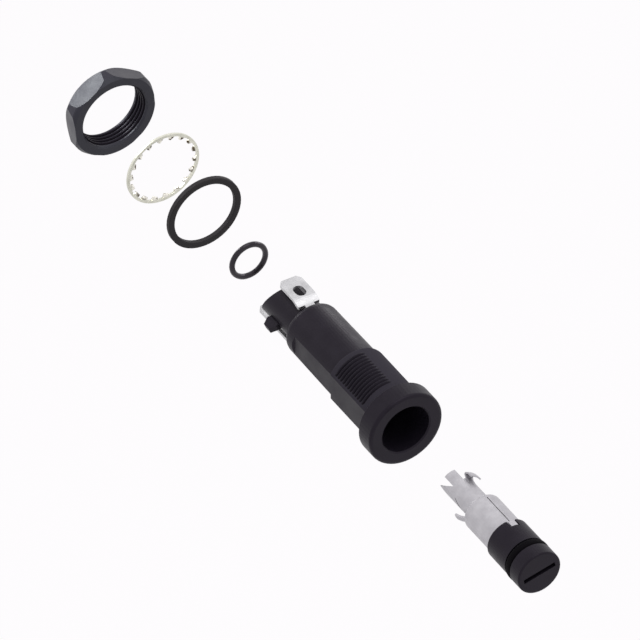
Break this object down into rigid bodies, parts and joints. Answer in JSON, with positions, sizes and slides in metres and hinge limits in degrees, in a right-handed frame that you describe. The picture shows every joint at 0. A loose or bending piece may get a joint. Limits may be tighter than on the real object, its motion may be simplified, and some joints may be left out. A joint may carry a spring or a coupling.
{
  "type": "panel mount fuse holder",
  "caption": "Round panel mount fuse holder drawn apart along its axis, with bayonet fuse carrier, quick-connect tabs, gasket, toothed lock washer, hex nut and sealing ring.",
  "frame": {"origin": "centre of the panel side of the flange, on the holder's axis", "axes": "+Y along the axis from the flange through the panel to the nut, +Z out of the face of the upper tab"},
  "size_m": [0.0236, 0.212, 0.025],
  "materials": {
    "body_plastic": "satin black moulding",
    "nut_plastic": "satin black moulding",
    "tinned_brass": "bright tin plate",
    "nickel_brass": "satin nickel plate",
    "plain_brass": "turned",
    "zinc_steel": "bright zinc plate",
    "spring_steel": "drawn wire",
    "gasket_rubber": "matte",
    "ring_rubber": "satin"
  },
  "bodies": {
    "holder": {"holder_body": "body_plastic", "side_terminal": "tinned_brass", "end_terminal": "tinned_brass"},
    "gasket": {"panel_gasket": "gasket_rubber"},
    "washer": {"lock_washer": "zinc_steel"},
    "nut": {"hex_nut": "nut_plastic"},
    "loose_ring": {"o_ring": "ring_rubber"},
    "spring_stack": {"carrier_spring": "spring_steel", "contact_cup": "plain_brass"},
    "carrier": {"carrier_cap": "body_plastic", "carrier_seal": "ring_rubber", "fuse_clip": "nickel_brass"}
  },
  "joints": [
    {"name": "gasket_slide", "type": "slide", "parent": "holder", "child": "gasket", "axis": [0, -1, 0], "range_m": [0, 0.0917]},
    {"name": "washer_slide", "type": "slide", "parent": "gasket", "child": "washer", "axis": [0, -1, 0], "range_m": [0, 0.0187]},
    {"name": "nut_slide", "type": "slide", "parent": "washer", "child": "nut", "axis": [0, -1, 0], "range_m": [0, 0.0226]},
    {"name": "ring_slide", "type": "slide", "parent": "holder", "child": "loose_ring", "axis": [0, -1, 0], "range_m": [0, 0.0118]},
    {"name": "carrier_slide", "type": "slide", "parent": "holder", "child": "spring_stack", "axis": [0, 1, 0], "range_m": [0, 0.06265]},
    {"name": "carrier_turn", "type": "hinge", "parent": "spring_stack", "child": "carrier", "pos_m": [0, -0.05, 0], "axis": [0, 1, 0], "range_deg": [0, 90]}
  ]
}
